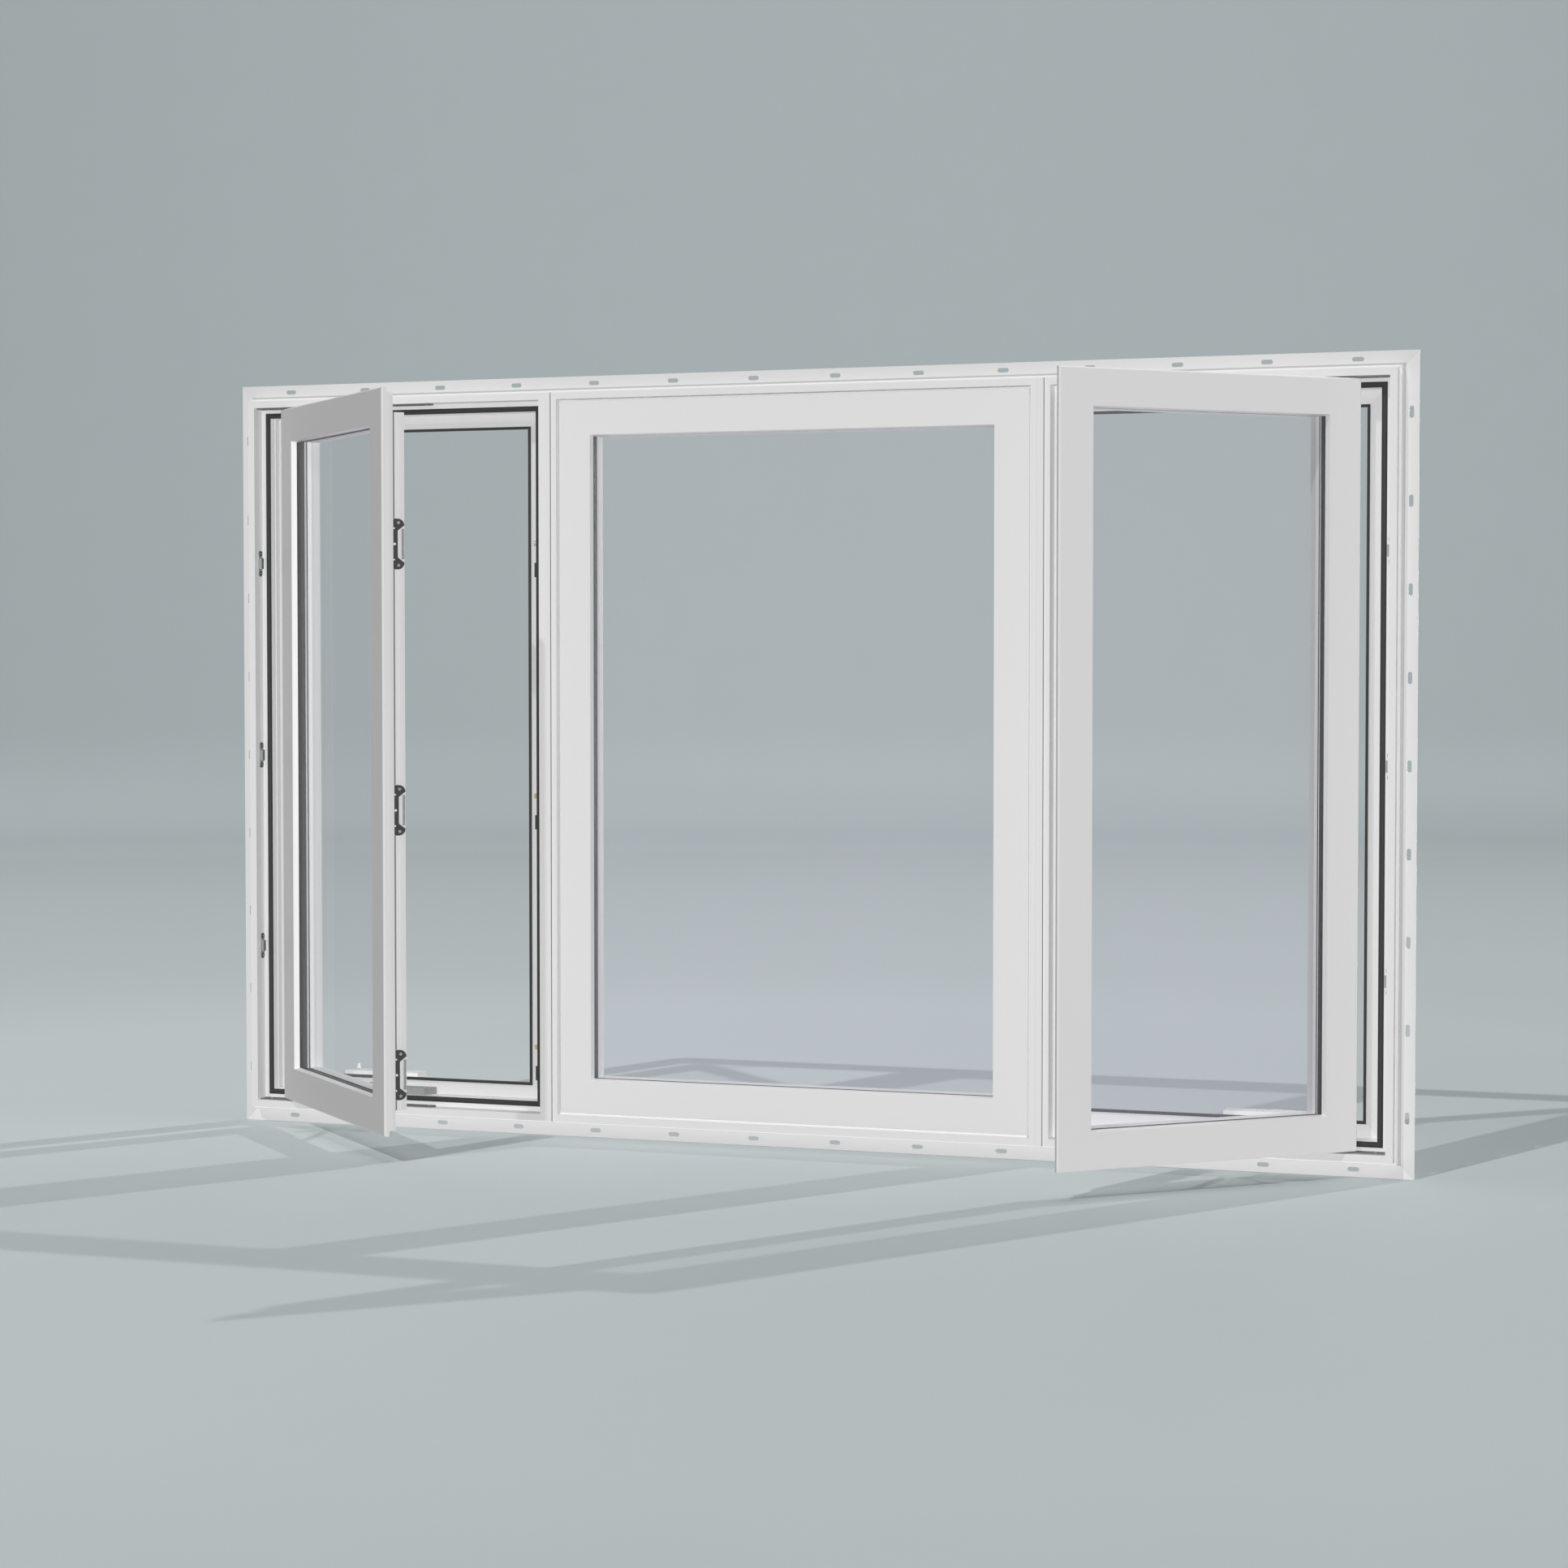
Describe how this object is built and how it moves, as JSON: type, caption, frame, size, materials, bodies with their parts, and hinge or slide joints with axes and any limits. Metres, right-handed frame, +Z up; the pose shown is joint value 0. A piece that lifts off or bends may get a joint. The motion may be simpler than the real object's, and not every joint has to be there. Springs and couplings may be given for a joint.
{
  "type": "triple casement window",
  "caption": "White vinyl window of a fixed light between outward casements standing open on concealed hinges, mulled in a slotted nailing-fin frame for a wall opening.",
  "frame": {"origin": "on the back face of the bottom nailing fin, at its middle, where the fin lies on the wall sheathing", "axes": "+X to the right seen from outdoors, +Y from outdoors to indoors, +Z up"},
  "size_m": [2.1844, 0.5255, 1.3716],
  "materials": {
    "white_vinyl": "satin extruded vinyl",
    "clear_glass": "clear, polished",
    "spacer_bar": "dark warm-edge spacer",
    "black_seal": "matt black bulb seal",
    "zinc_steel": "zinc plated",
    "grey_casting": "grey die casting",
    "black_hardware": "black coated steel",
    "brass_rollers": "turned brass",
    "white_hardware": "white enamel"
  },
  "bodies": {
    "root": {"bottom_nailing_fin": "white_vinyl", "crank_handles": "white_hardware", "crank_operators": "grey_casting", "fixed_light_bottom_rail": "white_vinyl", "fixed_light_glass": "clear_glass", "fixed_light_left_stile": "white_vinyl", "fixed_light_right_stile": "white_vinyl", "fixed_light_top_rail": "white_vinyl", "fixed_unit_head": "white_vinyl", "fixed_unit_left_jamb": "white_vinyl", "fixed_unit_right_jamb": "white_vinyl", "fixed_unit_sill": "white_vinyl", "glass_spacers": "spacer_bar", "glazing_beads": "white_vinyl", "hinge_shoes": "zinc_steel", "hinge_side_snubbers": "zinc_steel", "hinge_tracks": "zinc_steel", "inner_seals": "black_seal", "left_nailing_fin": "white_vinyl", "left_sash_bottom_rail": "white_vinyl", "left_sash_glass": "clear_glass", "left_sash_hinge_stile": "white_vinyl", "left_sash_lock_stile": "white_vinyl", "left_sash_top_rail": "white_vinyl", "left_unit_head": "white_vinyl", "left_unit_left_jamb": "white_vinyl", "left_unit_right_jamb": "white_vinyl", "left_unit_sill": "white_vinyl", "lock_bars": "zinc_steel", "lock_guides": "black_hardware", "lock_levers": "white_hardware", "lock_rollers": "brass_rollers", "mull_covers": "white_vinyl", "operator_arms": "zinc_steel", "operator_covers": "white_hardware", "right_nailing_fin": "white_vinyl", "right_sash_bottom_rail": "white_vinyl", "right_sash_glass": "clear_glass", "right_sash_hinge_stile": "white_vinyl", "right_sash_lock_stile": "white_vinyl", "right_sash_top_rail": "white_vinyl", "right_unit_head": "white_vinyl", "right_unit_left_jamb": "white_vinyl", "right_unit_right_jamb": "white_vinyl", "right_unit_sill": "white_vinyl", "sash_arms": "zinc_steel", "sash_keepers": "black_hardware", "sash_operator_tracks": "zinc_steel", "support_arms": "zinc_steel", "top_nailing_fin": "white_vinyl", "weatherstrips": "black_seal"}
  },
  "joints": []
}
